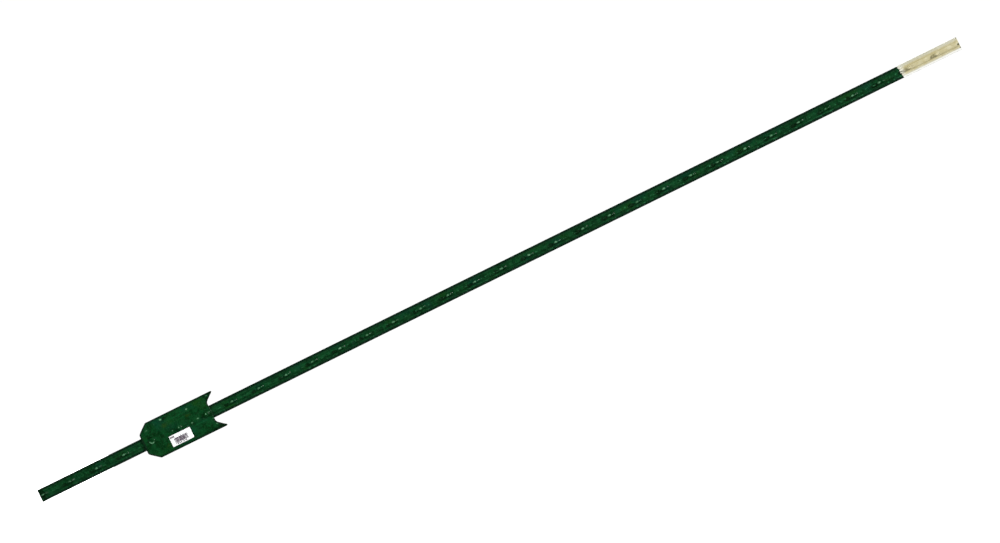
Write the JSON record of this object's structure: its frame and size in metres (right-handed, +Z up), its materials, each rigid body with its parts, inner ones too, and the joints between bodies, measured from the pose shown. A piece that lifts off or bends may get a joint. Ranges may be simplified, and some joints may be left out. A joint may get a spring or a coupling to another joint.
{
  "type": "studded fence T-post",
  "caption": "Steel T-section fence post with a row of studs down its face, a riveted anchor plate near its foot, a light painted top and a small label.",
  "frame": {"origin": "in the flange on the post's centre line, at the sheared bottom end", "axes": "+Z up along the post; -Y is the studded face that the fence wire and the anchor plate are on; +Y is the web's edge; +X is across the flange, to the right when the studded face is looked at"},
  "size_m": [0.092, 0.045, 2.4384],
  "materials": {
    "green_enamel": "gloss",
    "cream_paint": "satin",
    "plate_enamel": "satin",
    "rivet_enamel": "gloss",
    "label_paper": "satin"
  },
  "bodies": {
    "root": {"t_post_bar": "green_enamel", "white_tip_coat": "cream_paint", "anchor_plate": "plate_enamel", "rivet_lower": "rivet_enamel", "rivet_middle": "rivet_enamel", "rivet_upper": "rivet_enamel", "barcode_label": "label_paper"}
  },
  "joints": []
}
